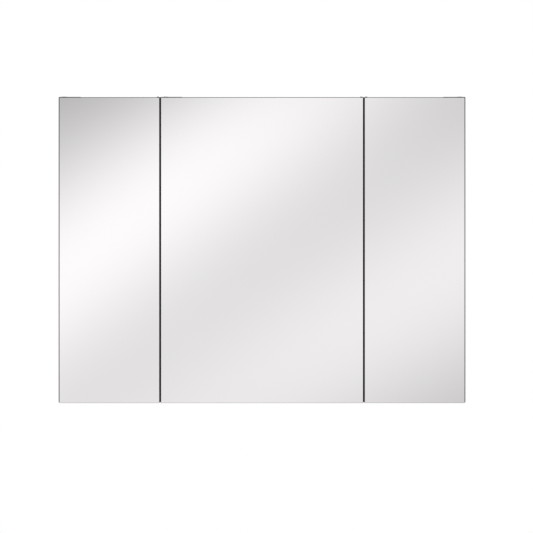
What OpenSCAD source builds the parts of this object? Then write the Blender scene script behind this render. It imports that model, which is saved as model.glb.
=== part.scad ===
// Three-door mirrored wall cabinet.
// The wall is the plane Y = 0 and the doors face -Y. The origin lies midway between the two
// hanging keyholes, in the plane of the wall. Millimetres.

/* [Cabinet] */
// Width of the cabinet body
body_w = 800; // [600:5:1200]
// Height of the cabinet body
body_h = 600; // [480:5:800]
// Depth of the cabinet body without its doors
body_d = 140; // [110:1:200]
// Thickness of the body boards
board_t = 16; // [15:0.5:19]
// Thickness of the back panel
back_t = 3; // [2.5:0.5:5]
// Depth of the grooves that hold the back panel
groove_depth = 5; // [4:0.5:6]
// Height of the hanging rail
rail_h = 80; // [60:1:120]
// Thickness of the hanging rail
rail_t = 16; // [15:0.5:19]

/* [Doors] */
// Width of each side door
side_door_w = 196.5; // [150:0.5:240]
// Gap between neighbouring doors
door_seam = 3; // [2.6:0.1:5]
// Strip of the body left bare beside each outer door
side_reveal = 2; // [0.5:0.1:4]
// Strip of the body left bare above the doors
top_reveal = 1.2; // [0.9:0.1:3]
// How far the doors hang below the body
bottom_overhang = 1; // [0.5:0.1:6]
// Thickness of the door boards
core_t = 16; // [15:0.5:19]
// Rounding of the door boards' rear edges
edge_r = 2; // [1:0.1:3]
// Thickness of the mirror glass
mirror_t = 3; // [3:0.1:4]
// Width of the ground arris round each mirror
arris = 0.5; // [0.4:0.1:1.2]

/* [Pivot hinges] */
// Distance of the pivot axis behind the mirror glass
pivot_inset = 4.5; // [4.2:0.1:5]
// Room kept beside and behind a door's corners as it swings
swing_clear = 0.5; // [0.4:0.1:1]
// Diameter of the pivot pins
pin_d = 4; // [3:0.5:4]
// Length of the pins inside their bushes
pin_reach = 8; // [6:0.5:10]
// Outer diameter of the bushes
bush_d = 6.8; // [6:0.1:7.4]
// Length of the pivot plates along the front edge
plate_l = 42; // [40:1:60]
// Depth of the pivot plates on the body boards
plate_w = 20; // [16:1:30]
// Thickness of the pivot plates
plate_t = 1.2; // [1:0.1:1.5]
// Depth of the recesses that hold the pivot plates
plate_recess = 0.6; // [0.2:0.1:0.8]
// Distance from the pivot axis to the outer end of its plate
plate_end = 9.5; // [7:0.5:9.5]
// Half the width of the plate's arm at the pin
arm_r = 3.2; // [2.8:0.1:3.4]
// How much wider the arm gets towards the body
arm_flare = 4; // [2:0.5:6]
// Distance between the two screws of a pivot plate
plate_pitch = 28; // [20:1:32]

/* [Catches and pads] */
// Length of a magnetic catch with its two ears
catch_l = 44; // [40:1:50]
// Length of a catch's housing without the ears
catch_box_l = 28; // [24:1:30]
// Depth of a catch
catch_d = 18; // [14:1:24]
// Height of a catch
catch_h = 12; // [10:0.5:15]
// Wall of a catch's housing
catch_wall = 2; // [1.5:0.1:2.5]
// Thickness of the steel poles on either side of the magnet
pole_t = 1.5; // [1:0.1:2]
// Thickness of the strike plates
strike_t = 1.2; // [1:0.1:1.5]
// Length of the strike plates
strike_l = 30; // [24:1:40]
// Height of the strike plates
strike_h = 14; // [10:1:18]
// Width of the buffer pads at the doors' free corners
pad_w = 5; // [4:0.5:6]
// Height of the buffer pads
pad_h = 10; // [8:0.5:14]
// Distance from a door's free edge to the middle of its pads
pad_inset = 3.2; // [3:0.1:6]
// How far the upper pads stand above the body
pad_proud = 1; // [0:0.1:1.5]

/* [Shelves] */
// Thickness of the glass shelves
shelf_t = 5; // [4:0.5:8]
// Distance of the shelves behind the body's front edge
shelf_setback = 12; // [6:1:30]
// Gap between a shelf and the boards around it
shelf_clear = 1; // [0.5:0.1:2]
// Diameter of the shelf pins
peg_d = 5; // [4:0.5:6]
// Depth of the holes for the shelf pins in the side boards
peg_hole = 9; // [8:0.5:12]
// Distance between neighbouring pin holes in height
peg_pitch = 32; // [25:1:40]
// Distance from a board's front or back edge to its pin holes
peg_edge = 34; // [25:1:40]
// Length of a pin's tongue under the shelf
tongue_l = 9; // [7:0.5:12]
// Width of a pin's tongue
tongue_w = 7; // [6:0.5:9]
// Thickness of a pin's tongue
tongue_t = 3; // [2:0.5:4]

/* [Wall hanging] */
// Distance from each side board to the middle of its keyhole
key_inset = 64; // [44:1:120]
// Height of the body above the keyholes
hang_drop = 50; // [44:1:60]
// Width of a keyhole plate
key_plate_w = 60; // [54:1:70]
// Height of a keyhole plate
key_plate_h = 40; // [36:1:46]
// Thickness of a keyhole plate
key_plate_t = 2; // [1.5:0.5:3]
// Diameter of a keyhole's round opening
key_hole_d = 12; // [11:0.5:14]
// Width of a keyhole's slot
key_slot_w = 6; // [5:0.5:7]
// Height of the slot's end above the round opening
key_rise = 12; // [10:0.5:14]
// Depth of the pocket for the wall screw's head
key_pocket = 12; // [9:0.5:13]

/* [Board joints] */
// Diameter of the cam locks
cam_d = 15; // [12:0.5:16]
// Depth of the cam locks
cam_depth = 12.5; // [11:0.5:13]
// Distance from a board's end to the middle of its cam locks
cam_setback = 24; // [20:1:34]
// Distance from the front and back edges to the cam locks and panel screws
joint_edge = 30; // [26:1:34]
// Diameter of the wooden dowels
dowel_d = 8; // [6:1:8]
// Length of the wooden dowels
dowel_l = 30; // [25:1:35]
// Depth of the dowels in the crossing board
dowel_in = 10; // [8:0.5:12]
// Diameter of the panel screws' shanks
panel_screw_d = 7; // [5:0.5:7]
// Length of the panel screws
panel_screw_l = 50; // [40:1:60]

/* [Hidden] */
$fn = 64;

// Clearances
fit_clear = 0.1;     // between a fastener or insert and its hole, and between let-in pieces
pin_clear = 0.05;    // radial, between a pivot pin and its bush
pivot_play = 0.1;    // between a bush's end and the plate it turns on
notch_clear = 0.4;   // between the lower pivot plates and the notches in the doors
groove_end_clear = 0.5; // between the back panel's edges and the grooves' floors
bush_floor = 2;      // closed end of a bush beyond its pin
pad_clear = 0.2;     // between a closed door and its pads, and between the poles and the strike
cut = 1;             // how far cutting shapes run past the faces that they open

// Colours
graphite = "#3b3e42";
steel = "#a9adb0";
zinc = "#8d9194";
gunmetal = "#5c5f62";
nylon = "#303133";
rubber = "#2a2a2b";
glass = "#b9d6cf";
silver = "#dfe3e5";
beech = "#cfa873";

// Body limits
top_z = hang_drop;
bottom_z = top_z - body_h;
ceiling_z = top_z - board_t;
floor_z = bottom_z + board_t;
inner_h = ceiling_z - floor_z;
front_y = -body_d;
back_y = -rail_t;                 // rear face of the back panel
back_front_y = back_y - back_t;   // front face of the back panel
partition_x = body_w / 2 - side_reveal - side_door_w - door_seam / 2;

// Where the pivot axis lies in a door. Its distance from the hinge edge lets both corners of the
// mirror's arris pass the neighbouring door, and the gap behind the doors lets the board's
// rounded rear corner pass the body, with swing_clear to spare. Both are rounded up to 0.1 mm.
pivot_front = mirror_t + pivot_inset;
pivot_back = core_t - pivot_inset;
side_room = door_seam - swing_clear;
front_corner_need = (pow(arris, 2) + pow(pivot_front, 2) - pow(side_room, 2))
    / (2 * (side_room + arris));
side_corner_need = (pow(pivot_front - arris, 2) - pow(side_room, 2)) / (2 * side_room);
pivot_side = ceil(10 * max(front_corner_need, side_corner_need)) / 10;
rear_swing = norm([pivot_side - edge_r, pivot_back - edge_r]) + edge_r - pivot_back;
door_gap = ceil(10 * (rear_swing + swing_clear)) / 10;

// Door limits
door_back_y = front_y - door_gap;
mirror_back_y = door_back_y - core_t;
door_front_y = mirror_back_y - mirror_t;
pivot_y = mirror_back_y + pivot_inset;
door_top_z = top_z - top_reveal;
door_bottom_z = bottom_z - bottom_overhang;
door_h = door_top_z - door_bottom_z;

// Lower and upper faces of the upper pivot plates
plate_under_z = top_z - plate_recess;
plate_top_z = plate_under_z + plate_t;

// Each door is [X of its hinge edge, its width, 1 for hinges on its left or -1 on its right]
LEFT = [-body_w / 2 + side_reveal, side_door_w, 1];
CENTRE = [-partition_x + door_seam / 2, 2 * partition_x - door_seam, 1];
RIGHT = [body_w / 2 - side_reveal, side_door_w, -1];
DOORS = [LEFT, CENTRE, RIGHT];

// Each bay is [X of its left wall, X of its right wall]
LEFT_BAY = [-body_w / 2 + board_t, -partition_x - board_t / 2];
CENTRE_BAY = [-partition_x + board_t / 2, partition_x - board_t / 2];
RIGHT_BAY = [partition_x + board_t / 2, body_w / 2 - board_t];
UPPER = 2;
LOWER = 1;

// Fastener rows
side_mid_x = (body_w - board_t) / 2;
row_ys = [front_y + joint_edge, back_front_y - joint_edge];
dowel_y = (row_ys[0] + row_ys[1]) / 2;
peg_ys = [front_y + peg_edge, back_front_y - peg_edge];
rail_screw_xs = [-body_w / 4, 0, body_w / 4];
rail_dowel_zs = [ceiling_z - rail_h / 4, ceiling_z - 3 * rail_h / 4];
back_screw_zs = [floor_z + inner_h / 6, floor_z + inner_h / 2, ceiling_z - inner_h / 6];

// Small fasteners: [shank diameter, head diameter, length]
PLATE_SCREW = [3, 5.4, 13];
STRIKE_SCREW = [3, 5.4, 12];
CATCH_SCREW = [3, 5.6, 13];
BACK_SCREW = [3, 7, 20];
KEY_SCREW = [4, 8, 13];

// Heads and driver recesses; the shares are of a head's diameter
pan_head_h = 2;
pan_top_share = 0.7;
pan_cross_share = 0.45;
flat_cross_share = 0.6;
cross_w = 0.8;
cross_depth = 1;
panel_cross_depth = 1.5;
cam_cross_depth = 2;

panel_head_h = 2;
panel_head_d = panel_screw_d + 3;
panel_thread_d = panel_screw_d - 2;
bolt_thread_d = 7;
bolt_in = 10;
bolt_neck_d = 4;
bolt_head_d = 6;
bolt_head_h = 4;

// Corner rounding of the steel plates and the pads
plate_round = 2;
pad_round = 1;

// Shelf details
shelf_ease = 0.8;
collar_d = peg_d + 2;
collar_t = 0.8;
peg_end_clear = 0.5;

// Catch details
catch_ear_t = 2.4;
catch_ear_d = 11;
catch_from_partition = 2;
magnet_t = catch_h - 2 * catch_wall - 2 * pole_t;
catch_z = ceiling_z - catch_h / 2;

// Keyhole plates
hang_pitch = body_w - 2 * board_t - 2 * key_inset;
key_plate_mid_z = (key_rise + key_slot_w / 2 - key_hole_d / 2) / 2;
key_screw_x = key_plate_w / 2 - KEY_SCREW[1];
key_pocket_d = key_hole_d + 6;

// ---- Helpers ----

// Places children in a door's own terms: X runs from its hinge edge to its free edge
module at_door(door) {
    translate([door[0], 0, 0])
        if (door[2] > 0) children();
        else mirror([1, 0, 0]) children();
}

// Both sides of the cabinet, mirrored about the middle
module both_sides() {
    children();
    mirror([1, 0, 0]) children();
}

// What is drawn for the cabinet's top, turned over for its bottom
module at_bottom() {
    translate([0, 0, top_z + bottom_z]) mirror([0, 0, 1]) children();
}
module both_ends() {
    children();
    at_bottom() children();
}

module rod_x(d, l) rotate([0, 90, 0]) cylinder(d = d, h = l);
module rod_y(d, l) rotate([-90, 0, 0]) cylinder(d = d, h = l);

// A rectangle with round corners, centred
module round_rect(w, h, r) {
    square([w, h - 2 * r], center = true);
    square([w - 2 * r, h], center = true);
    for (x = [-1, 1], y = [-1, 1])
        translate([x * (w / 2 - r), y * (h / 2 - r)]) circle(r);
}

// A countersunk screw that points down from its head's flat face at the origin
module flat_screw(screw, grow = 0) {
    sink = (screw[1] - screw[0]) / 2;
    translate([0, 0, -screw[2] - grow]) cylinder(d = screw[0] + 2 * grow, h = screw[2] + grow);
    translate([0, 0, -sink])
        cylinder(d1 = screw[0] + 2 * grow, d2 = screw[1] + 2 * grow, h = sink);
    if (grow > 0) cylinder(d = screw[1] + 2 * grow, h = cut);
}

// A round-headed screw that points down from under its head at the origin
module pan_screw(screw) {
    translate([0, 0, -screw[2]]) cylinder(d = screw[0], h = screw[2]);
    cylinder(d1 = screw[1], d2 = pan_top_share * screw[1], h = pan_head_h);
}

// The bore for a round-headed screw's shank
module screw_bore(screw) {
    translate([0, 0, -screw[2] - fit_clear])
        cylinder(d = screw[0] + 2 * fit_clear, h = screw[2] + 2 * fit_clear + cut);
}

// The driver recess in a screw's head, opening upwards at the origin
module cross_recess(size, depth = cross_depth) {
    for (a = [0, 90]) rotate([0, 0, a])
        translate([-size / 2, -cross_w / 2, -depth]) cube([size, cross_w, depth + cut]);
}

module driven_flat_screw(screw) {
    difference() {
        flat_screw(screw);
        cross_recess(flat_cross_share * screw[1]);
    }
}

module driven_pan_screw(screw) {
    difference() {
        pan_screw(screw);
        translate([0, 0, pan_head_h]) cross_recess(pan_cross_share * screw[1]);
    }
}

// ---- Board joints ----

// The groove for the back panel, across the whole board and sunk from Z = 0 down
module groove(length) {
    translate([-length / 2, back_front_y - fit_clear, -groove_depth])
        cube([length, back_t + 2 * fit_clear, groove_depth + cut]);
}

// Dowel places at the top end of an upright board whose middle plane is at X = 0
module end_dowel(grow = 0) {
    translate([0, dowel_y, ceiling_z + dowel_in - dowel_l - grow])
        cylinder(d = dowel_d + 2 * grow, h = dowel_l + 2 * grow);
}

// The bolts of a side board's top end, each with its thread in the top and its head in a cam
module cam_bolt(grow = 0) {
    for (y = row_ys) translate([0, y, ceiling_z]) {
        cylinder(d = bolt_thread_d + 2 * grow, h = bolt_in + grow);
        translate([0, 0, -cam_setback]) cylinder(d = bolt_neck_d + 2 * grow, h = cam_setback);
        translate([0, 0, -cam_setback - bolt_head_h / 2])
            cylinder(d = bolt_head_d + 2 * grow, h = bolt_head_h);
    }
}

// The bores that a side board has for the bolts and cams at its top end
module cam_bores() {
    for (y = row_ys) {
        translate([0, y, ceiling_z - cam_setback])
            cylinder(d = bolt_thread_d + 2 * fit_clear, h = cam_setback + cut);
        translate([-board_t / 2 - cut, y, ceiling_z - cam_setback])
            rod_x(cam_d + 2 * fit_clear, cam_depth + fit_clear + cut);
    }
}

// A panel screw with its head flush in the top's upper face, at X = 0 and Y = 0
module panel_screw(grow = 0) {
    rise = grow > 0 ? cut : 0;
    translate([0, 0, top_z - panel_head_h])
        cylinder(d = panel_head_d + 2 * grow, h = panel_head_h + rise);
    translate([0, 0, top_z - board_t])
        cylinder(d = panel_screw_d + 2 * grow, h = board_t - panel_head_h);
    translate([0, 0, top_z - panel_screw_l - grow])
        cylinder(d = panel_thread_d + 2 * grow, h = panel_screw_l - board_t + grow);
}

// Every panel screw through the top: two into each partition, three into the hanging rail
module partition_screw_places() {
    for (x = [-partition_x, partition_x], y = row_ys) translate([x, y, 0]) children();
}
module rail_screw_places() {
    for (x = rail_screw_xs) translate([x, -rail_t / 2, 0]) children();
}

// ---- Body ----

// Rows of blind or through holes for the shelf pins, from X = 0 towards +X
module peg_holes(depth) {
    for (level = [LOWER, UPPER], step = [-1, 0, 1], y = peg_ys)
        translate([-cut, y, floor_z + level * inner_h / 3 + step * peg_pitch])
            rod_x(peg_d + 2 * fit_clear, depth + cut);
}

// The right side board; the left one is its mirror image
module side_board() {
    color(graphite) difference() {
        translate([body_w / 2 - board_t, front_y, floor_z]) cube([board_t, body_d, inner_h]);
        translate([body_w / 2 - board_t, 0, 0]) peg_holes(peg_hole);
        translate([side_mid_x, 0, 0]) both_ends() {
            cam_bores();
            end_dowel(fit_clear);
        }
        translate([body_w / 2 - board_t, 0, (floor_z + ceiling_z) / 2])
            rotate([0, -90, 0]) groove(inner_h + 2 * cut);
        rail_dowels(fit_clear);
    }
}
module left_side() mirror([1, 0, 0]) side_board();
module right_side() side_board();

// The cuts that the top and bottom share, drawn for the top
module crossing_cuts() {
    translate([0, 0, ceiling_z]) mirror([0, 0, 1])
        groove(body_w - 2 * board_t + 2 * (groove_depth - fit_clear));
    both_sides() {
        translate([side_mid_x, 0, 0]) {
            cam_bolt(fit_clear);
            end_dowel(fit_clear);
        }
        translate([partition_x, 0, 0]) end_dowel(fit_clear);
    }
    partition_screw_places() panel_screw(fit_clear);
    for (door = DOORS) at_door(door) {
        translate([0, 0, plate_under_z]) linear_extrude(plate_recess + cut)
            plate_outline(fit_clear);
        plate_screw_places() flat_screw(PLATE_SCREW, fit_clear);
    }
}

module top_panel() {
    color(graphite) difference() {
        translate([-body_w / 2, front_y, ceiling_z]) cube([body_w, body_d, board_t]);
        crossing_cuts();
        rail_screw_places() panel_screw(fit_clear);
        for (door = DOORS) at_door(door) catch_screw_places(door) screw_bore(CATCH_SCREW);
    }
}

module bottom_panel() {
    color(graphite) difference() {
        translate([-body_w / 2, front_y, bottom_z]) cube([body_w, body_d, board_t]);
        at_bottom() crossing_cuts();
    }
}

module partition(x) {
    color(graphite) difference() {
        translate([x - board_t / 2, front_y, floor_z])
            cube([board_t, back_front_y - front_y, inner_h]);
        translate([x - board_t / 2, 0, 0]) peg_holes(board_t + cut);
        both_ends() {
            translate([x, 0, 0]) end_dowel(fit_clear);
            partition_screw_places() panel_screw(fit_clear);
        }
        back_screw_places(x) screw_bore(BACK_SCREW);
    }
}
module left_partition() partition(-partition_x);
module right_partition() partition(partition_x);

module back_panel() {
    entry = groove_depth - groove_end_clear;
    color(graphite) difference() {
        translate([-body_w / 2 + board_t - entry, back_front_y, floor_z - entry])
            cube([body_w - 2 * board_t + 2 * entry, back_t, inner_h + 2 * entry]);
        for (x = [-partition_x, partition_x])
            back_screw_places(x) screw_bore(BACK_SCREW);
    }
}

// Screws through the back panel into a partition; children point up at the panel's rear face
module back_screw_places(x) {
    for (z = back_screw_zs) translate([x, back_y, z]) rotate([-90, 0, 0]) children();
}
module back_screws() {
    color(zinc) for (x = [-partition_x, partition_x])
        back_screw_places(x) driven_pan_screw(BACK_SCREW);
}

module rail_dowels(grow = 0) {
    for (z = rail_dowel_zs)
        translate([body_w / 2 - board_t + dowel_in - dowel_l - grow, -rail_t / 2, z])
            rod_x(dowel_d + 2 * grow, dowel_l + 2 * grow);
}

module hanging_rail() {
    color(graphite) difference() {
        translate([-body_w / 2 + board_t, -rail_t, ceiling_z - rail_h])
            cube([body_w - 2 * board_t, rail_t, rail_h]);
        both_sides() {
            rail_dowels(fit_clear);
            translate([hang_pitch / 2, 0, 0]) {
                translate([0, -key_plate_t, key_plate_mid_z])
                    rotate([-90, 0, 0]) linear_extrude(key_plate_t + cut)
                        round_rect(key_plate_w + 2 * fit_clear, key_plate_h + 2 * fit_clear,
                            plate_round);
                translate([0, -key_pocket, 0])
                    key_slot(key_pocket_d, key_pocket_d, key_pocket + cut);
                key_screw_places() flat_screw(KEY_SCREW, fit_clear);
            }
        }
        rail_screw_places() panel_screw(fit_clear);
    }
}

// ---- Wall hanging ----

// A round opening with a slot that rises from it, cut along Y
module key_slot(hole_d, slot_w, depth) {
    rod_y(hole_d, depth);
    translate([0, 0, key_rise]) rod_y(slot_w, depth);
    translate([-slot_w / 2, 0, 0]) cube([slot_w, depth, key_rise]);
}

// Children point up at the outer face of the plate's left and right screws
module key_screw_places() {
    for (x = [-key_screw_x, key_screw_x])
        translate([x, 0, key_plate_mid_z]) rotate([-90, 0, 0]) children();
}

module keyhole_plate() {
    difference() {
        translate([0, -key_plate_t, key_plate_mid_z])
            rotate([-90, 0, 0]) linear_extrude(key_plate_t)
                round_rect(key_plate_w, key_plate_h, plate_round);
        translate([0, -key_plate_t - cut, 0])
            key_slot(key_hole_d, key_slot_w, key_plate_t + 2 * cut);
        key_screw_places() flat_screw(KEY_SCREW, fit_clear);
    }
}
module keyhole_plates() {
    color(zinc) for (x = [-1, 1]) translate([x * hang_pitch / 2, 0, 0]) keyhole_plate();
}
module keyhole_plate_screws() {
    color(steel) for (x = [-1, 1]) translate([x * hang_pitch / 2, 0, 0])
        key_screw_places() driven_flat_screw(KEY_SCREW);
}

// ---- Joint hardware ----

module cam_lock(y) {
    face_x = body_w / 2 - board_t;
    translate([face_x, y, ceiling_z - cam_setback]) difference() {
        rod_x(cam_d, cam_depth);
        rotate([0, -90, 0]) cross_recess(cam_d / 2, cam_cross_depth);
        translate([board_t / 2, 0, -bolt_head_h])
            cylinder(d = bolt_head_d + 4 * fit_clear, h = cam_d + bolt_head_h);
    }
}
module cam_locks() {
    color(zinc) both_sides() both_ends() for (y = row_ys) cam_lock(y);
}
module cam_bolts() {
    color(steel) both_sides() both_ends() translate([side_mid_x, 0, 0]) cam_bolt();
}
module dowels() {
    color(beech) both_sides() {
        both_ends() for (x = [partition_x, side_mid_x]) translate([x, 0, 0]) end_dowel();
        rail_dowels();
    }
}
module driven_panel_screw() {
    difference() {
        panel_screw();
        translate([0, 0, top_z]) cross_recess(panel_screw_d / 2, panel_cross_depth);
    }
}
module panel_screws() {
    color(zinc) {
        both_ends() partition_screw_places() driven_panel_screw();
        rail_screw_places() driven_panel_screw();
    }
}

// ---- Pivot hinges ----

// A pivot plate's outline, seen from above in a door's own terms
module plate_outline(grow = 0) {
    mid_x = pivot_side - plate_end + plate_l / 2;
    length = plate_l + 2 * grow;
    translate([mid_x, front_y + plate_w / 2])
        round_rect(length, plate_w + 2 * grow, plate_round + grow);
    translate([mid_x - length / 2, front_y]) square([length, plate_w / 2]);
    polygon([
        [pivot_side - arm_r, pivot_y],
        [pivot_side + arm_r, pivot_y],
        [pivot_side + arm_r + arm_flare, front_y],
        [pivot_side - arm_r, front_y]
    ]);
    translate([pivot_side, pivot_y]) circle(arm_r);
}

// The two screws of an upper plate; children point up at the plate's upper face
module plate_screw_places() {
    mid_x = pivot_side - plate_end + plate_l / 2;
    for (x = [-plate_pitch / 2, plate_pitch / 2])
        translate([mid_x + x, front_y + plate_w / 2, plate_top_z]) children();
}

// A plate let into the body's upper face, with an arm that reaches over a door's top edge
module pivot_plate() {
    difference() {
        translate([0, 0, plate_under_z]) linear_extrude(plate_t) plate_outline();
        translate([pivot_side, pivot_y, plate_under_z - cut])
            cylinder(d = pin_d + 2 * pin_clear, h = plate_t + 2 * cut);
        plate_screw_places() flat_screw(PLATE_SCREW, fit_clear);
    }
}
module top_pivot_plates() {
    color(gunmetal) for (door = DOORS) at_door(door) pivot_plate();
}
module bottom_pivot_plates() {
    color(gunmetal) at_bottom() for (door = DOORS) at_door(door) pivot_plate();
}
module pivot_pin() {
    length = plate_t + pivot_play + pin_reach;
    translate([pivot_side, pivot_y, plate_top_z - length]) cylinder(d = pin_d, h = length);
}
module pivot_pins() {
    color(steel) both_ends() for (door = DOORS) at_door(door) pivot_pin();
}
module pivot_plate_screws() {
    color(steel) both_ends() for (door = DOORS) at_door(door)
        plate_screw_places() driven_flat_screw(PLATE_SCREW);
}

// ---- Catches and pads ----

// The middle of a door's catch, clear of the partition beside it
function catch_x(door) =
    door[1] - (board_t - door_seam) / 2 - catch_from_partition - catch_l / 2;

module catch_screw_places(door) {
    ear = (catch_l - catch_box_l) / 2;
    for (x = [-1, 1])
        translate([catch_x(door) + x * (catch_l - ear) / 2, front_y + catch_ear_d / 2,
            ceiling_z - catch_ear_t])
            mirror([0, 0, 1]) children();
}
module catch_housing(door) {
    x = catch_x(door);
    hollow = [catch_box_l - 2 * catch_wall, catch_d - catch_wall, catch_h - 2 * catch_wall];
    difference() {
        union() {
            translate([x - catch_box_l / 2, front_y, ceiling_z - catch_h])
                cube([catch_box_l, catch_d, catch_h]);
            translate([x - catch_l / 2, front_y, ceiling_z - catch_ear_t])
                cube([catch_l, catch_ear_d, catch_ear_t]);
        }
        translate([x - hollow[0] / 2, front_y - cut, ceiling_z - catch_h + catch_wall])
            cube(hollow + [0, cut, 0]);
        catch_screw_places(door) screw_bore(CATCH_SCREW);
    }
}
module catch_housings() {
    color(rubber) for (door = DOORS) at_door(door) catch_housing(door);
}

module catch_magnets() {
    length = catch_box_l - 2 * catch_wall - 2 * fit_clear;
    color(rubber) for (door = DOORS) at_door(door)
        translate([catch_x(door) - length / 2, front_y, catch_z - magnet_t / 2])
            cube([length, catch_d - catch_wall, magnet_t]);
}
module catch_poles() {
    length = catch_box_l - 2 * catch_wall - 2 * fit_clear;
    tip_y = door_back_y + strike_t + pad_clear;
    color(steel) for (door = DOORS, z = [magnet_t / 2, -magnet_t / 2 - pole_t]) at_door(door)
        translate([catch_x(door) - length / 2, tip_y, catch_z + z])
            cube([length, front_y + catch_d - catch_wall - tip_y, pole_t]);
}
module catch_screws() {
    color(steel) for (door = DOORS) at_door(door)
        catch_screw_places(door) driven_pan_screw(CATCH_SCREW);
}

// A buffer pad on the body's front edge, behind a door's free corner
module door_pad(door, z) {
    translate([door[1] - pad_inset, front_y, z]) rotate([90, 0, 0])
        linear_extrude(door_gap - pad_clear) round_rect(pad_w, pad_h, pad_round);
}
module door_pads() {
    lower_z = bottom_z + board_t / 2;
    upper_z = top_z + pad_proud - pad_h / 2;
    color(rubber) for (door = DOORS) at_door(door) {
        door_pad(door, upper_z);
        door_pad(door, lower_z);
    }
}

// ---- Shelves ----

function peg_z(level) = floor_z + level * inner_h / 3;

// A pin whose wall is the plane X = 0 and whose tongue points along +X
module shelf_pin() {
    shank = min(peg_hole, board_t / 2) - peg_end_clear;
    translate([-shank, 0, 0]) rod_x(peg_d, shank);
    difference() {
        rod_x(collar_d, collar_t);
        translate([-cut, -collar_d / 2, tongue_t / 2])
            cube([collar_t + 2 * cut, collar_d, collar_d]);
    }
    translate([0, -tongue_w / 2, -tongue_t / 2]) cube([tongue_l, tongue_w, tongue_t]);
}
module shelf_pins(bay) {
    color(steel) for (level = [LOWER, UPPER], y = peg_ys) {
        translate([bay[0], y, peg_z(level)]) shelf_pin();
        translate([bay[1], y, peg_z(level)]) mirror([1, 0, 0]) shelf_pin();
    }
}
module left_shelf_pins() shelf_pins(LEFT_BAY);
module centre_shelf_pins() shelf_pins(CENTRE_BAY);
module right_shelf_pins() shelf_pins(RIGHT_BAY);

// A glass shelf with its front edge eased, resting on its pins' tongues
module shelf(bay, level) {
    front = front_y + shelf_setback;
    back = back_front_y - shelf_clear;
    length = bay[1] - bay[0] - 2 * shelf_clear;
    color(glass, 0.6)
        translate([bay[0] + shelf_clear, 0, peg_z(level) + tongue_t / 2])
            rotate([90, 0, 90]) linear_extrude(length) polygon([
                [front + shelf_ease, 0], [back, 0], [back, shelf_t], [front + shelf_ease, shelf_t],
                [front, shelf_t - shelf_ease], [front, shelf_ease]
            ]);
}
module left_upper_shelf() shelf(LEFT_BAY, UPPER);
module left_lower_shelf() shelf(LEFT_BAY, LOWER);
module centre_upper_shelf() shelf(CENTRE_BAY, UPPER);
module centre_lower_shelf() shelf(CENTRE_BAY, LOWER);
module right_upper_shelf() shelf(RIGHT_BAY, UPPER);
module right_lower_shelf() shelf(RIGHT_BAY, LOWER);

// ---- Doors ----

// A bush in the door's top edge; its end stands pivot_play below the pivot plate
module bush(outer, length, rise = 0) {
    translate([pivot_side, pivot_y, plate_under_z - pivot_play - length])
        cylinder(d = outer, h = length + rise);
}
module door_bush() {
    length = pin_reach + bush_floor;
    difference() {
        bush(bush_d, length);
        translate([pivot_side, pivot_y, plate_under_z - pivot_play - pin_reach - fit_clear])
            cylinder(d = pin_d + 2 * pin_clear, h = pin_reach + fit_clear + cut);
    }
}
module door_bushes(door) {
    color(nylon) both_ends() at_door(door) door_bush();
}

// The board's outline from above, with both rear edges rounded
module board_outline(width) {
    translate([0, mirror_back_y]) square([width, core_t - edge_r]);
    translate([edge_r, mirror_back_y]) square([width - 2 * edge_r, core_t]);
    for (x = [edge_r, width - edge_r])
        translate([x, door_back_y - edge_r]) circle(edge_r);
}

// Cut from a board's lower hinge corner, so that the pivot plate's arm stays clear as it swings
module pivot_notch() {
    translate([-cut, mirror_back_y - cut, door_bottom_z - cut])
        cube([
            pivot_side + arm_r + arm_flare + notch_clear + cut,
            core_t + 2 * cut,
            bottom_z + plate_recess + notch_clear - door_bottom_z + cut
        ]);
}

module door_board(door) {
    bore_l = pin_reach + bush_floor + fit_clear;
    color(graphite) at_door(door) difference() {
        translate([0, 0, door_bottom_z]) linear_extrude(door_h) board_outline(door[1]);
        pivot_notch();
        both_ends() bush(bush_d + 2 * fit_clear, bore_l, cut);
        strike_screw_place(door) flat_screw(STRIKE_SCREW, fit_clear);
    }
}

// A sheet of mirror glass with a ground arris round its front face
module door_mirror(door) {
    color(silver) at_door(door) intersection() {
        translate([0, 0, door_bottom_z]) linear_extrude(door_h) polygon([
            [0, mirror_back_y], [door[1], mirror_back_y], [door[1], door_front_y + arris],
            [door[1] - arris, door_front_y], [arris, door_front_y], [0, door_front_y + arris]
        ]);
        rotate([90, 0, 90]) linear_extrude(door[1]) polygon([
            [mirror_back_y, door_bottom_z], [mirror_back_y, door_top_z],
            [door_front_y + arris, door_top_z], [door_front_y, door_top_z - arris],
            [door_front_y, door_bottom_z + arris], [door_front_y + arris, door_bottom_z]
        ]);
    }
}

// The strike's screw; children point up at the strike's outer face
module strike_screw_place(door) {
    translate([catch_x(door), door_back_y + strike_t, catch_z])
        rotate([-90, 0, 0]) children();
}
module strike_plate(door) {
    color(zinc) at_door(door) difference() {
        translate([catch_x(door), door_back_y, catch_z])
            rotate([-90, 0, 0]) linear_extrude(strike_t)
                round_rect(strike_l, strike_h, plate_round);
        strike_screw_place(door) flat_screw(STRIKE_SCREW, fit_clear);
    }
}
module strike_screw(door) {
    color(steel) at_door(door) strike_screw_place(door) driven_flat_screw(STRIKE_SCREW);
}

module left_door_board() door_board(LEFT);
module left_door_mirror() door_mirror(LEFT);
module left_door_bushes() door_bushes(LEFT);
module left_strike_plate() strike_plate(LEFT);
module left_strike_screw() strike_screw(LEFT);
module centre_door_board() door_board(CENTRE);
module centre_door_mirror() door_mirror(CENTRE);
module centre_door_bushes() door_bushes(CENTRE);
module centre_strike_plate() strike_plate(CENTRE);
module centre_strike_screw() strike_screw(CENTRE);
module right_door_board() door_board(RIGHT);
module right_door_mirror() door_mirror(RIGHT);
module right_door_bushes() door_bushes(RIGHT);
module right_strike_plate() strike_plate(RIGHT);
module right_strike_screw() strike_screw(RIGHT);

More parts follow.
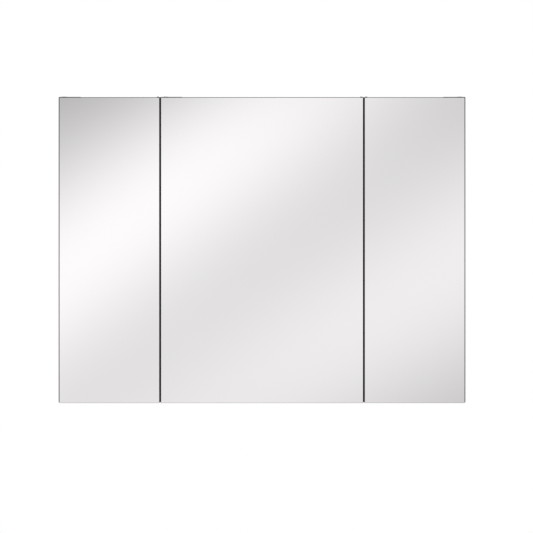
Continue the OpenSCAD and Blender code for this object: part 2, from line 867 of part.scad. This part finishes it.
left_side();
right_side();
top_panel();
bottom_panel();
left_partition();
right_partition();
back_panel();
hanging_rail();
keyhole_plates();
keyhole_plate_screws();
cam_locks();
cam_bolts();
dowels();
panel_screws();
back_screws();
top_pivot_plates();
bottom_pivot_plates();
pivot_pins();
pivot_plate_screws();
door_pads();
catch_housings();
catch_magnets();
catch_poles();
catch_screws();
left_upper_shelf();
left_lower_shelf();
centre_upper_shelf();
centre_lower_shelf();
right_upper_shelf();
right_lower_shelf();
left_shelf_pins();
centre_shelf_pins();
right_shelf_pins();
left_door_board();
left_door_mirror();
left_door_bushes();
left_strike_plate();
left_strike_screw();
centre_door_board();
centre_door_mirror();
centre_door_bushes();
centre_strike_plate();
centre_strike_screw();
right_door_board();
right_door_mirror();
right_door_bushes();
right_strike_plate();
right_strike_screw();
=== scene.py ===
import math

import bmesh
import bpy
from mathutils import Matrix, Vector


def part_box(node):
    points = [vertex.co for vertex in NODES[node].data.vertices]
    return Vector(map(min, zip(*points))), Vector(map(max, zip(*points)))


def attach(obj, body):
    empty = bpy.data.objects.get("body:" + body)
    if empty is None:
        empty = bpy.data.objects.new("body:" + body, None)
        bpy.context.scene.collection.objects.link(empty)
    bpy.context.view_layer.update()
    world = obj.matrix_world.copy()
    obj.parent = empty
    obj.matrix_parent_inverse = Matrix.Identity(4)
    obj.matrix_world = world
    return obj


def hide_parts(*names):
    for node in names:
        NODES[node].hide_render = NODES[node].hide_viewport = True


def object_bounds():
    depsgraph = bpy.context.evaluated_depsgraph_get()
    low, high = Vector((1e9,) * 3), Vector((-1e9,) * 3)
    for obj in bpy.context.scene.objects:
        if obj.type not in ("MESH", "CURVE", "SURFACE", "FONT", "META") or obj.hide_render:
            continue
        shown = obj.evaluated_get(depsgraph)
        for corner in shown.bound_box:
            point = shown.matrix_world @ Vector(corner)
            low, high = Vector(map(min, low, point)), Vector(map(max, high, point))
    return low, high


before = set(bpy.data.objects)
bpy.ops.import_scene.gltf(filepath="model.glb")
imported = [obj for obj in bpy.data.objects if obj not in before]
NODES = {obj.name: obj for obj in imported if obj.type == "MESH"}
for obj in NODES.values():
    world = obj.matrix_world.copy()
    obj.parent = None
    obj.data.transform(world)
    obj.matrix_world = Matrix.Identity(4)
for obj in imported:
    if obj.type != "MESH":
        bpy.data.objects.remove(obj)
cad_lo, cad_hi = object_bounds()
scene = bpy.context.scene

# ---- Sizes, in metres, and studio levels, where 1 is white ----

ARRIS = 0.0005            # width of the ground arris round each mirror
COAT = 0.0002             # the mirror's silver and its protective paint
POLISH = 0.0008           # radius of the shelves' polished front edges
POLISH_STEPS = 5          # faces round each quarter of them
FLOOR_DROP = 1.2          # from the cabinet's lowest point to the floor
FLOOR_REACH = 6.0         # from the floor's middle to its sides
FLOOR_FADE = (1.2, 3.2)   # the floor fades into the white surround between these radii

VIEW_WIDTH = 1.0464       # width that the camera sees at the doors
VIEW_RIGHT = 0.0088       # how far its axis lies right of and below the doors' middle
VIEW_DOWN = 0.0319
CAMERA_OFF = 12.0         # from the doors to the camera
VIEW_END = 100.0          # furthest that the camera sees
SENSOR = 36.0             # width of its sensor, in millimetres

SILVER = (0.947, 0.929, 0.930)   # share of the light that the mirrors return
CARD_OFF = 2.0            # from the doors to the card that they reflect
CARD_REACH = (3.4, 2.6)   # half its width and height, as the doors show them
CARD_FADE = 0.7           # share of that reach at which the card starts to fade into the surround
CARD_BASE = 0.44          # its level away from its bands
# Soft bands on the card, light or dark: strength, angle in degrees, place across the band, half width
CARD_BANDS = (
    (0.50, 37, -0.21, 0.19),
    (0.40, 33, 0.23, 0.24),
    (0.35, 35, -1.1, 0.45),
    (0.35, 35, 1.1, 0.45),
    (-0.11, 0, -0.40, 0.16),
    (-0.065, 0, 0.45, 0.25),
)

AMBIENT = 0.42            # what the surround alone gives a white face
SHEEN_LOW = 0.66          # darkest level of the surround as glossy faces show it
SHEEN_TILT = 38           # slant of its soft bands, in degrees
SHEEN_TURNS = 40          # how closely they follow each other
# Soft square lamps: place from the cabinet's middle, side, level on a white face that looks at it
LAMPS = {
    "key_lamp": ((3.4, -2.9, 2.6), 2.6, 0.42),
    "fill_lamp": ((-3.6, -2.6, 1.2), 2.4, 0.22),
    "top_lamp": ((0.3, -0.6, 3.4), 2.4, 0.30),
    "rear_lamp": ((1.8, 3.8, 1.8), 2.4, 0.42),
}

middle = (cad_lo + cad_hi) / 2
doors_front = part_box("centre_door_mirror")[0].y
doors_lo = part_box("left_door_mirror")[0]
doors_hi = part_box("right_door_mirror")[1]
doors_mid = Vector(((doors_lo.x + doors_hi.x) / 2, doors_front, (doors_lo.z + doors_hi.z) / 2))


# ---- Materials ----

AXES = ((1, 0, 0), (0, 1, 0), (0, 0, 1))
NOISE_RANGE = (0.3, 0.7)  # noise lies mostly between these values
FACE_SHARE = 0.499        # a board's outer faces lie further from its middle, as a share of its size
LOOKS_ALONG = 0.7         # a face looks along an axis where the cosine of their angle is above this
EDGE_SAMPLES = 4          # rays that look for edges near each point


class Nodes:
    """A node tree under construction, with short calls for the nodes that the scene uses."""

    def __init__(self, owner):
        owner.use_nodes = True
        self.tree = owner.node_tree
        self.tree.nodes.clear()

    def node(self, kind, **settings):
        n = self.tree.nodes.new(kind)
        for key, value in settings.items():
            setattr(n, key, value)
        return n

    def link(self, source, socket):
        """Joins the source to a socket, or sets the socket where the source is a plain value."""
        if isinstance(source, bpy.types.NodeSocket):
            self.tree.links.new(source, socket)
        else:
            socket.default_value = source

    def math(self, operation, *values):
        n = self.node("ShaderNodeMath", operation=operation)
        for socket, value in zip(n.inputs, values):
            self.link(value, socket)
        return n.outputs[0]

    def highest(self, first, *others):
        for other in others:
            first = self.math("MAXIMUM", first, other)
        return first

    def fit(self, value, low, high, low_to, high_to, kind="LINEAR"):
        """Takes a value from one range to another."""
        n = self.node("ShaderNodeMapRange", interpolation_type=kind)
        for socket, v in zip(n.inputs, (value, low, high, low_to, high_to)):
            self.link(v, socket)
        return n.outputs[0]

    def along(self, vector, axis):
        n = self.node("ShaderNodeVectorMath", operation="DOT_PRODUCT")
        self.link(vector, n.inputs[0])
        n.inputs[1].default_value = axis
        return n.outputs["Value"]

    def blend(self, factor, first, second):
        n = self.node("ShaderNodeMixShader")
        for socket, source in zip(n.inputs, (factor, first, second)):
            self.link(source, socket)
        return n.outputs[0]


class Finish(Nodes):
    """A material under construction. Scales are waves or cells in a metre."""

    def __init__(self, name):
        self.mat = bpy.data.materials.new(name)
        super().__init__(self.mat)
        self.out = self.node("ShaderNodeOutputMaterial")
        self.place = self.node("ShaderNodeTexCoord").outputs["Object"]

    def stretched(self, *scale):
        n = self.node("ShaderNodeMapping")
        self.link(self.place, n.inputs["Vector"])
        n.inputs["Scale"].default_value = scale
        return n.outputs["Vector"]

    def noise(self, scale, detail=2.0, roughness=0.5, vector=None, distortion=0.0):
        n = self.node("ShaderNodeTexNoise")
        self.link(vector or self.place, n.inputs["Vector"])
        n.inputs["Scale"].default_value = scale
        n.inputs["Detail"].default_value = detail
        n.inputs["Roughness"].default_value = roughness
        n.inputs["Distortion"].default_value = distortion
        return n.outputs["Fac"]

    def spread(self, noise, low=0, high=1):
        """Takes noise to the range from low to high."""
        return self.fit(noise, *NOISE_RANGE, low, high)

    def cells(self, scale):
        """A random value for each cell."""
        n = self.node("ShaderNodeTexVoronoi")
        self.link(self.place, n.inputs["Vector"])
        n.inputs["Scale"].default_value = scale
        parts = self.node("ShaderNodeSeparateColor")
        self.link(n.outputs["Color"], parts.inputs[0])
        return parts.outputs[0]

    def mix(self, factor, a, b):
        n = self.node("ShaderNodeMix", data_type="RGBA")
        self.link(factor, n.inputs["Factor"])
        for socket, v in ((n.inputs[6], a), (n.inputs[7], b)):
            self.link((*v, 1.0) if isinstance(v, tuple) else v, socket)
        return n.outputs[2]

    def bump(self, height, distance, strength=1.0, normal=None):
        n = self.node("ShaderNodeBump")
        self.link(height, n.inputs["Height"])
        n.inputs["Distance"].default_value = distance
        n.inputs["Strength"].default_value = strength
        if normal:
            self.link(normal, n.inputs["Normal"])
        return n.outputs["Normal"]

    def eased(self, radius):
        """A normal that rounds the edges off."""
        n = self.node("ShaderNodeBevel", samples=EDGE_SAMPLES)
        n.inputs["Radius"].default_value = radius
        return n.outputs["Normal"]

    def faced(self):
        """1 on the six outer faces of a square-edged board, 0 in its holes, grooves and recesses."""
        place = self.node("ShaderNodeTexCoord").outputs["Generated"]
        off = []
        for axis in AXES:
            from_middle = self.math("SUBTRACT", self.along(place, axis), 0.5)
            off.append(self.math("ABSOLUTE", from_middle))
        return self.math("GREATER_THAN", self.highest(*off), FACE_SHARE)

    def facing(self, x, y, z):
        """1 where the surface looks along this axis of its own body, 0 elsewhere."""
        normal = self.node("ShaderNodeTexCoord").outputs["Normal"]
        return self.math("GREATER_THAN", self.along(normal, (x, y, z)), LOOKS_ALONG)

    def shade(self, color, roughness, normal=None, **sockets):
        n = self.node("ShaderNodeBsdfPrincipled")
        self.link((*color, 1.0) if isinstance(color, tuple) else color, n.inputs["Base Color"])
        self.link(roughness, n.inputs["Roughness"])
        if normal:
            self.link(normal, n.inputs["Normal"])
        for key, value in sockets.items():
            self.link(value, n.inputs[key.replace("_", " ")])
        self.tree.links.new(n.outputs[0], self.out.inputs["Surface"])
        return self.mat


def linear(level):
    """The share of light that a level on the screen stands for."""
    return level / 12.92 if level <= 0.04045 else ((level + 0.055) / 1.055) ** 2.4


def tone(red, green, blue):
    return linear(red), linear(green), linear(blue)


def shaded(color, share):
    return tuple(c * share for c in color)


GRAPHITE = tone(0.205, 0.214, 0.228)


def board_finish(name, shows_core):
    """Graphite melamine; the chips of the core show where a body board is drilled or grooved."""
    f = Finish(name)
    grain = f.noise(1400, 3, 0.6)
    pearl = f.noise(420, 2, 0.5)
    cloud = f.noise(9, 3, 0.5)
    speck = f.math("MULTIPLY", grain, cloud)
    color = f.mix(f.fit(speck, 0.12, 0.42, 0, 1), shaded(GRAPHITE, 0.80), shaded(GRAPHITE, 1.22))
    rough = f.spread(pearl, 0.40, 0.54)
    height = f.math("ADD", f.math("MULTIPLY", grain, 0.5), pearl)
    if shows_core:
        faced = f.faced()
        chips = f.noise(700, 4, 0.7, f.stretched(1.0, 0.6, 0.6))
        core = f.mix(f.fit(chips, 0.35, 0.65, 0, 1), tone(0.44, 0.35, 0.25), tone(0.66, 0.55, 0.42))
        color = f.mix(faced, core, color)
        rough = f.fit(faced, 0, 1, 0.85, rough)
    normal = f.bump(height, 0.00006, 0.7, f.eased(0.0005))
    return f.shade(color, rough, normal, Specular_IOR_Level=0.45)


def back_finish():
    """Lacquered hardboard, with the weave of the press's screen on its rear face."""
    f = Finish("hardboard_graphite")
    weave = []
    for direction in ("X", "Z"):
        n = f.node("ShaderNodeTexWave", bands_direction=direction)
        f.link(f.place, n.inputs["Vector"])
        n.inputs["Scale"].default_value = 260
        n.inputs["Distortion"].default_value = 0.6
        n.inputs["Detail Scale"].default_value = 40
        weave.append(n.outputs["Fac"])
    screen = f.math("MULTIPLY", weave[0], weave[1])
    rear = f.facing(0, 1, 0)
    fibre = f.noise(300, 4, 0.65, f.stretched(1.0, 1.0, 0.5))
    color = f.mix(f.spread(fibre), shaded(GRAPHITE, 0.78), shaded(GRAPHITE, 1.15))
    rough = f.spread(fibre, 0.5, 0.68)
    height = f.math("ADD", f.math("MULTIPLY", screen, rear), f.math("MULTIPLY", fibre, 0.35))
    return f.shade(color, rough, f.bump(height, 0.00022, 0.6))


def mirror_finish():
    f = Finish("mirror_silver")
    haze = f.noise(2.2, 2, 0.5)
    color = f.mix(haze, shaded(SILVER, 0.998), shaded(SILVER, 1.002))
    return f.shade(color, f.spread(haze, 0.012, 0.022), Metallic=1.0)


def arris_finish():
    f = Finish("glass_ground_arris")
    grind = f.noise(2600, 2, 0.5)
    color = f.mix(f.spread(grind), tone(0.27, 0.285, 0.28), tone(0.35, 0.37, 0.365))
    normal = f.bump(grind, 0.00002, 0.5)
    return f.shade(color, f.spread(grind, 0.30, 0.45), normal, Specular_IOR_Level=0.5)


def ground_glass_finish():
    f = Finish("glass_ground_edge")
    grind = f.noise(2600, 2, 0.5, f.stretched(1.0, 1.0, 0.4))
    color = f.mix(f.spread(grind), tone(0.20, 0.222, 0.216), tone(0.28, 0.31, 0.302))
    normal = f.bump(grind, 0.00003, 0.6)
    return f.shade(color, f.spread(grind, 0.22, 0.38), normal, Specular_IOR_Level=0.5)


def coat_finish():
    f = Finish("mirror_back_paint")
    spray = f.noise(900, 3, 0.6)
    color = f.mix(spray, tone(0.26, 0.27, 0.28), tone(0.34, 0.35, 0.36))
    return f.shade(color, f.spread(spray, 0.45, 0.65), f.bump(spray, 0.00004, 0.5))


def shelf_face_finish():
    f = Finish("shelf_glass_face")
    wipe = f.noise(14, 3, 0.5, f.stretched(1.0, 2.5, 1.0))
    color = f.mix(wipe, tone(0.93, 0.985, 0.965), tone(0.95, 0.995, 0.975))
    return f.shade(color, f.fit(wipe, 0.35, 0.75, 0.0, 0.035), Transmission_Weight=1.0, IOR=1.5)


def shelf_edge_finish():
    f = Finish("shelf_glass_edge")
    depth = f.noise(60, 3, 0.5)
    color = f.mix(depth, tone(0.42, 0.66, 0.58), tone(0.60, 0.82, 0.75))
    return f.shade(color, f.spread(depth, 0.06, 0.16), Transmission_Weight=0.45, IOR=1.5)


def zinc_finish():
    f = Finish("zinc_plate")
    spangle = f.math("MULTIPLY", f.cells(240), 0.45)
    drift = f.math("MULTIPLY", f.noise(60, 3, 0.6), 0.55)
    factor = f.math("ADD", spangle, drift)
    color = f.mix(factor, tone(0.66, 0.68, 0.71), tone(0.80, 0.81, 0.80))
    rough = f.fit(factor, 0.2, 0.8, 0.28, 0.46)
    grain = f.noise(1800, 2, 0.5)
    return f.shade(color, rough, f.bump(grain, 0.00003, 0.5, f.eased(0.00025)), Metallic=1.0)


def dark_steel_finish():
    f = Finish("steel_passivated_dark")
    rolled = f.noise(700, 3, 0.6, f.stretched(0.15, 1.0, 1.0))
    bloom = f.noise(90, 3, 0.6)
    color = f.mix(bloom, tone(0.36, 0.365, 0.375), tone(0.45, 0.45, 0.455))
    rough = f.spread(rolled, 0.34, 0.50)
    return f.shade(color, rough, f.bump(rolled, 0.00003, 0.6, f.eased(0.00025)), Metallic=0.9)


def steel_finish():
    f = Finish("steel_nickel")
    turn = f.noise(900, 2, 0.5, f.stretched(0.25, 1.0, 1.0))
    drift = f.noise(120, 2, 0.5)
    color = f.mix(drift, tone(0.76, 0.75, 0.73), tone(0.85, 0.84, 0.82))
    rough = f.spread(turn, 0.16, 0.30)
    return f.shade(color, rough, f.bump(turn, 0.00002, 0.5, f.eased(0.0002)), Metallic=1.0)


def nylon_finish():
    f = Finish("nylon_dark")
    mould = f.noise(1500, 3, 0.5)
    flow = f.noise(90, 2, 0.5)
    color = f.mix(flow, tone(0.13, 0.132, 0.138), tone(0.18, 0.182, 0.188))
    return f.shade(color, f.spread(mould, 0.36, 0.5), f.bump(mould, 0.00003, 0.5))


def rubber_finish():
    f = Finish("rubber_dark")
    pore = f.noise(2600, 3, 0.6)
    bloom = f.noise(220, 3, 0.6)
    color = f.mix(bloom, tone(0.10, 0.10, 0.102), tone(0.16, 0.16, 0.162))
    normal = f.bump(pore, 0.00006, 0.8, f.eased(0.0004))
    return f.shade(color, f.spread(bloom, 0.66, 0.85), normal)


def housing_finish():
    f = Finish("plastic_moulded_dark")
    spark = f.noise(3200, 2, 0.6)
    flow = f.noise(70, 2, 0.5)
    color = f.mix(flow, tone(0.14, 0.14, 0.145), tone(0.18, 0.18, 0.186))
    normal = f.bump(spark, 0.00006, 0.8, f.eased(0.0003))
    return f.shade(color, f.spread(flow, 0.42, 0.56), normal)


def ferrite_finish():
    f = Finish("ferrite_bare")
    crystal = f.noise(2200, 4, 0.7)
    color = f.mix(f.fit(crystal, 0.4, 0.7, 0, 1), tone(0.17, 0.17, 0.18), tone(0.27, 0.27, 0.28))
    normal = f.bump(crystal, 0.00005, 0.6)
    return f.shade(color, f.spread(crystal, 0.5, 0.7), normal, Metallic=0.35)


def beech_finish():
    f = Finish("beech_dowel")
    ring = f.noise(260, 4, 0.6, f.stretched(1.0, 1.0, 0.12), 0.8)
    pore = f.noise(1900, 2, 0.5, f.stretched(1.0, 1.0, 0.08))
    color = f.mix(f.spread(ring), tone(0.72, 0.55, 0.36), tone(0.84, 0.69, 0.49))
    return f.shade(color, f.spread(pore, 0.5, 0.7), f.bump(pore, 0.00008, 0.6))


def dress(nodes, mat):
    for name in nodes:
        piece = NODES[name]
        piece.data.materials.clear()
        piece.data.materials.append(mat)


DOORS = ("left", "centre", "right")
LEVELS = ("upper", "lower")
dress(["left_side", "right_side", "top_panel", "bottom_panel", "left_partition", "right_partition",
       "hanging_rail"], board_finish("melamine_graphite", True))
dress([d + "_door_board" for d in DOORS], board_finish("door_board_graphite", False))
dress(["back_panel"], back_finish())
dress(["keyhole_plates", "cam_locks", "panel_screws", "back_screws"]
      + [d + "_strike_plate" for d in DOORS], zinc_finish())
dress(["top_pivot_plates", "bottom_pivot_plates"], dark_steel_finish())
dress(["keyhole_plate_screws", "cam_bolts", "pivot_pins", "pivot_plate_screws", "catch_poles",
       "catch_screws"] + [d + "_shelf_pins" for d in DOORS] + [d + "_strike_screw" for d in DOORS],
      steel_finish())
dress([d + "_door_bushes" for d in DOORS], nylon_finish())
dress(["door_pads"], rubber_finish())
dress(["catch_housings"], housing_finish())
dress(["catch_magnets"], ferrite_finish())
dress(["dowels"], beech_finish())


# ---- Glass pieces ----


def add_piece(name, mesh_maker, mats):
    bm = bmesh.new()
    mesh_maker(bm)
    bmesh.ops.recalc_face_normals(bm, faces=bm.faces)
    mesh = bpy.data.meshes.new(name)
    bm.to_mesh(mesh)
    bm.free()
    for mat in mats:
        mesh.materials.append(mat)
    piece = bpy.data.objects.new(name, mesh)
    scene.collection.objects.link(piece)
    return piece


def ring(bm, lo, hi, y, inset):
    """The outline's four corners at one depth, drawn in by the inset."""
    left, right = lo.x + inset, hi.x - inset
    low, high = lo.z + inset, hi.z - inset
    places = ((left, low), (right, low), (right, high), (left, high))
    return [bm.verts.new((x, y, z)) for x, z in places]


def bridge(bm, first, second, slots):
    """Faces between two closed rows of vertices, each with its own material slot."""
    count = len(first)
    for i in range(count):
        j = (i + 1) % count
        bm.faces.new((first[i], first[j], second[j], second[i])).material_index = slots[i]


def mirror_sheet(lo, hi):
    """A sheet of glass, silvered and painted behind, with a ground arris round its front."""
    silver, arris, ground, paint = range(4)

    def make(bm):
        front = ring(bm, lo, hi, lo.y, ARRIS)
        side = ring(bm, lo, hi, lo.y + ARRIS, 0)
        coat = ring(bm, lo, hi, hi.y - COAT, 0)
        rear = ring(bm, lo, hi, hi.y, 0)
        bm.faces.new(front).material_index = silver
        bridge(bm, front, side, [arris] * 4)
        bridge(bm, side, coat, [ground] * 4)
        bridge(bm, coat, rear, [paint] * 4)
        bm.faces.new(rear).material_index = paint
    return make


def shelf_sheet(lo, hi):
    """A glass shelf with a round polished front edge."""
    face, edge = range(2)
    angles = [i / POLISH_STEPS * math.pi / 2 for i in range(POLISH_STEPS + 1)]
    arc = [(POLISH - POLISH * math.sin(angle), POLISH * math.cos(angle)) for angle in angles]
    outline = [(hi.y, lo.z), (hi.y, hi.z)]
    outline += [(lo.y + y, hi.z - POLISH + z) for y, z in arc]
    outline += [(lo.y + y, lo.z + POLISH - z) for y, z in reversed(arc)]
    slots = [edge] * len(outline)
    slots[1] = slots[-1] = face     # the upper and the lower face

    def make(bm):
        ends = [[bm.verts.new((x, y, z)) for y, z in outline] for x in (lo.x, hi.x)]
        bridge(bm, *ends, slots)
        for end in ends:
            bm.faces.new(end).material_index = edge
    return make


mirror_mats = [mirror_finish(), arris_finish(), ground_glass_finish(), coat_finish()]
shelf_mats = [shelf_face_finish(), shelf_edge_finish()]
for door in DOORS:
    node = door + "_door_mirror"
    piece = add_piece(door + "_mirror_sheet", mirror_sheet(*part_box(node)), mirror_mats)
    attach(piece, door + "_door")
    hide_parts(node)
    for level in LEVELS:
        node = f"{door}_{level}_shelf"
        piece = add_piece(f"{door}_{level}_glass_shelf", shelf_sheet(*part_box(node)), shelf_mats)
        piece.visible_shadow = False
        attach(piece, "cabinet")
        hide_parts(node)

# ---- Studio ----

camera = bpy.data.objects.new("camera", bpy.data.cameras.new("camera"))
scene.collection.objects.link(camera)
camera.data.sensor_width = SENSOR
camera.data.lens = SENSOR * CAMERA_OFF / VIEW_WIDTH
camera.data.clip_end = VIEW_END
camera.location = doors_mid + Vector((VIEW_RIGHT, -CAMERA_OFF, -VIEW_DOWN))
camera.rotation_euler = (math.pi / 2, 0, 0)
scene.camera = camera


def flat_sheet(name, reach_x, reach_y):
    mesh = bpy.data.meshes.new(name)
    corners = [(-reach_x, -reach_y, 0), (reach_x, -reach_y, 0),
               (reach_x, reach_y, 0), (-reach_x, reach_y, 0)]
    mesh.from_pydata(corners, [], [(0, 1, 2, 3)])
    sheet = bpy.data.objects.new(name, mesh)
    scene.collection.objects.link(sheet)
    return sheet


def rays(tree, *kinds):
    """1 for rays of any of these kinds, 0 for all others."""
    path = tree.node("ShaderNodeLightPath")
    return tree.highest(*[path.outputs[f"Is {kind} Ray"] for kind in kinds])


def floor_finish():
    """Pale and matt under the cabinet; the surround shows through it further out and from below."""
    f = Finish("floor_pale")
    length = f.node("ShaderNodeVectorMath", operation="LENGTH")
    f.link(f.place, length.inputs[0])
    fade = f.fit(length.outputs["Value"], *FLOOR_FADE, 0, 1, "SMOOTHERSTEP")
    f.shade(f.mix(f.noise(40, 3), tone(0.955, 0.955, 0.955), tone(0.965, 0.965, 0.965)), 0.8)
    matt = f.out.inputs["Surface"].links[0].from_socket
    clear = f.node("ShaderNodeBsdfTransparent").outputs[0]
    below = f.node("ShaderNodeNewGeometry").outputs["Backfacing"]
    faded = f.math("MULTIPLY", fade, rays(f, "Camera", "Glossy", "Transmission"))
    f.link(f.blend(f.highest(faded, below), matt, clear), f.out.inputs["Surface"])
    return f.mat


def card_finish():
    """Soft bands of light, which fade into the surround towards the card's edges."""
    f = Finish("reflection_card")
    level = CARD_BASE
    for strength, angle, place, width in CARD_BANDS:
        slant = math.radians(angle)
        across = f.along(f.place, (math.sin(slant), -math.cos(slant), 0))
        off = f.math("DIVIDE", f.math("SUBTRACT", across, place), width)
        band = f.math("EXPONENT", f.math("MULTIPLY", f.math("MULTIPLY", off, off), -1.0))
        level = f.math("ADD", level, f.math("MULTIPLY", band, strength))
    light = f.node("ShaderNodeEmission")
    f.link(f.math("DIVIDE", level, SILVER[1]), light.inputs["Strength"])
    off_x = f.math("ABSOLUTE", f.along(f.place, (1 / CARD_REACH[0], 0, 0)))
    off_y = f.math("ABSOLUTE", f.along(f.place, (0, 1 / CARD_REACH[1], 0)))
    fade = f.fit(f.highest(off_x, off_y), CARD_FADE, 1, 0, 1, "SMOOTHERSTEP")
    clear = f.node("ShaderNodeBsdfTransparent").outputs[0]
    f.link(f.blend(fade, light.outputs[0], clear), f.out.inputs["Surface"])
    return f.mat


floor = flat_sheet("floor", FLOOR_REACH, FLOOR_REACH)
floor.location = (middle.x, middle.y, cad_lo.z - FLOOR_DROP)
floor.data.materials.append(floor_finish())

# It stands in front of the doors, and only reflections show it
card = flat_sheet("reflection_card", *CARD_REACH)
card_scale = 1 + CARD_OFF / CAMERA_OFF
on_axis = Vector((camera.location.x, doors_front - CARD_OFF, camera.location.z))
card.location = on_axis + Vector((-VIEW_RIGHT, 0, VIEW_DOWN)) * card_scale
card.rotation_euler = (math.pi / 2, 0, 0)
card.scale = (card_scale,) * 3
card.data.materials.append(card_finish())
card.visible_camera = card.visible_diffuse = card.visible_transmission = False
card.visible_shadow = card.visible_volume_scatter = False

for name, (place, side, level) in LAMPS.items():
    data = bpy.data.lights.new(name, "AREA")
    data.shape = "SQUARE"
    data.size = side
    off = Vector(place)
    data.energy = level * math.pi ** 2 * off.length_squared
    lamp = bpy.data.objects.new(name, data)
    scene.collection.objects.link(lamp)
    lamp.location = middle + off
    lamp.rotation_euler = off.to_track_quat("Z", "Y").to_euler()
    lamp.visible_glossy = False

# White behind everything, with soft bands for glossy faces and a plain low light for the others
world = bpy.data.worlds.new("studio_world")
scene.world = world
w = Nodes(world)
slant = math.radians(SHEEN_TILT)
toward = w.node("ShaderNodeTexCoord").outputs["Generated"]
across = w.along(toward, (math.sin(slant), 0, -math.cos(slant)))
wave = w.math("SINE", w.math("MULTIPLY", across, SHEEN_TURNS))
sheen = w.math("MULTIPLY", rays(w, "Glossy"), w.fit(wave, -1, 1, SHEEN_LOW, 1))
sky = w.node("ShaderNodeBackground")
w.link(w.highest(rays(w, "Camera", "Transmission"), sheen, AMBIENT), sky.inputs["Strength"])
sky.inputs["Color"].default_value = (1, 1, 1, 1)
w.link(sky.outputs[0], w.node("ShaderNodeOutputWorld").inputs["Surface"])

scene.view_settings.view_transform = "Standard"
